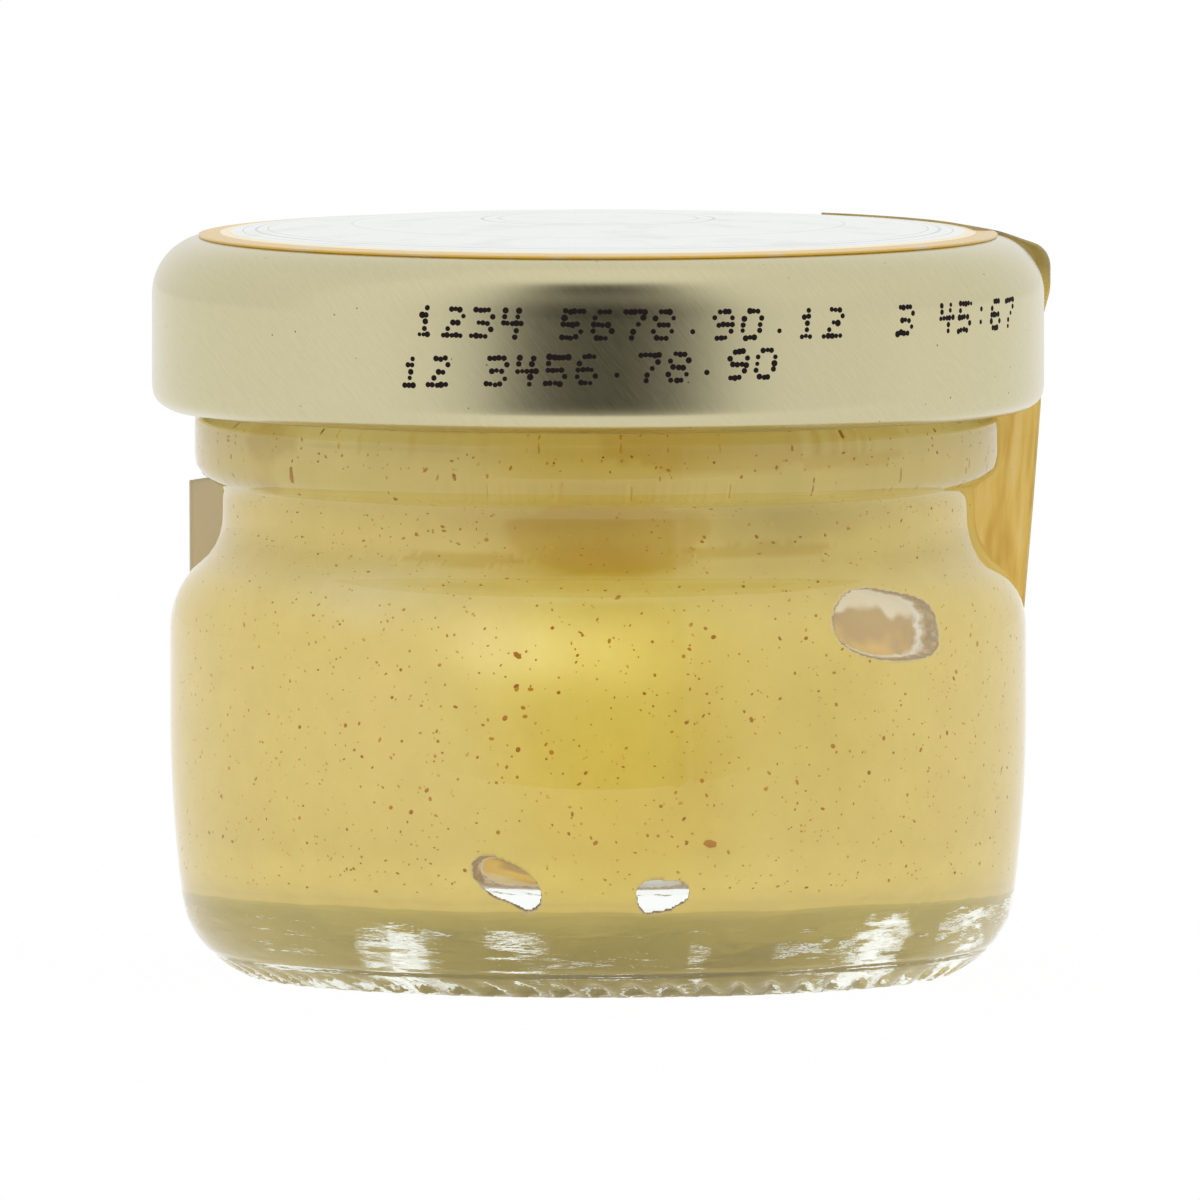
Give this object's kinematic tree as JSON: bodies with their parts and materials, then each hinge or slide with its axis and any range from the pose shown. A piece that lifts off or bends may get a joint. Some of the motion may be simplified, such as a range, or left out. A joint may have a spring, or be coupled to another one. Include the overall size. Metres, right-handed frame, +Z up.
{
  "type": "mustard jar",
  "caption": "Small clear glass jar full of pale mustard, shut with a gold twist-off lid, with a round paper label and seal strap over the lid and a label round the back.",
  "frame": {"origin": "centre of the jar's foot, on the surface it stands on", "axes": "+Z up along the jar's axis; -Y is the plain front without a label, the seal strap is on the +X side, the body label on the +Y side"},
  "size_m": [0.0464, 0.046, 0.039],
  "materials": {
    "clear_glass": "clear, glossy",
    "mustard": "smooth wet paste with fine brown specks",
    "gold_tinplate": "pale gold lacquer over fine brushed grain, satin",
    "label_paper": "coated paper, slight gloss",
    "printing_ink": "dark ink dots"
  },
  "bodies": {
    "root": {"glass_jar": "clear_glass", "mustard": "mustard", "lid": "gold_tinplate", "lid_label": "label_paper", "body_label": "label_paper"}
  },
  "joints": []
}
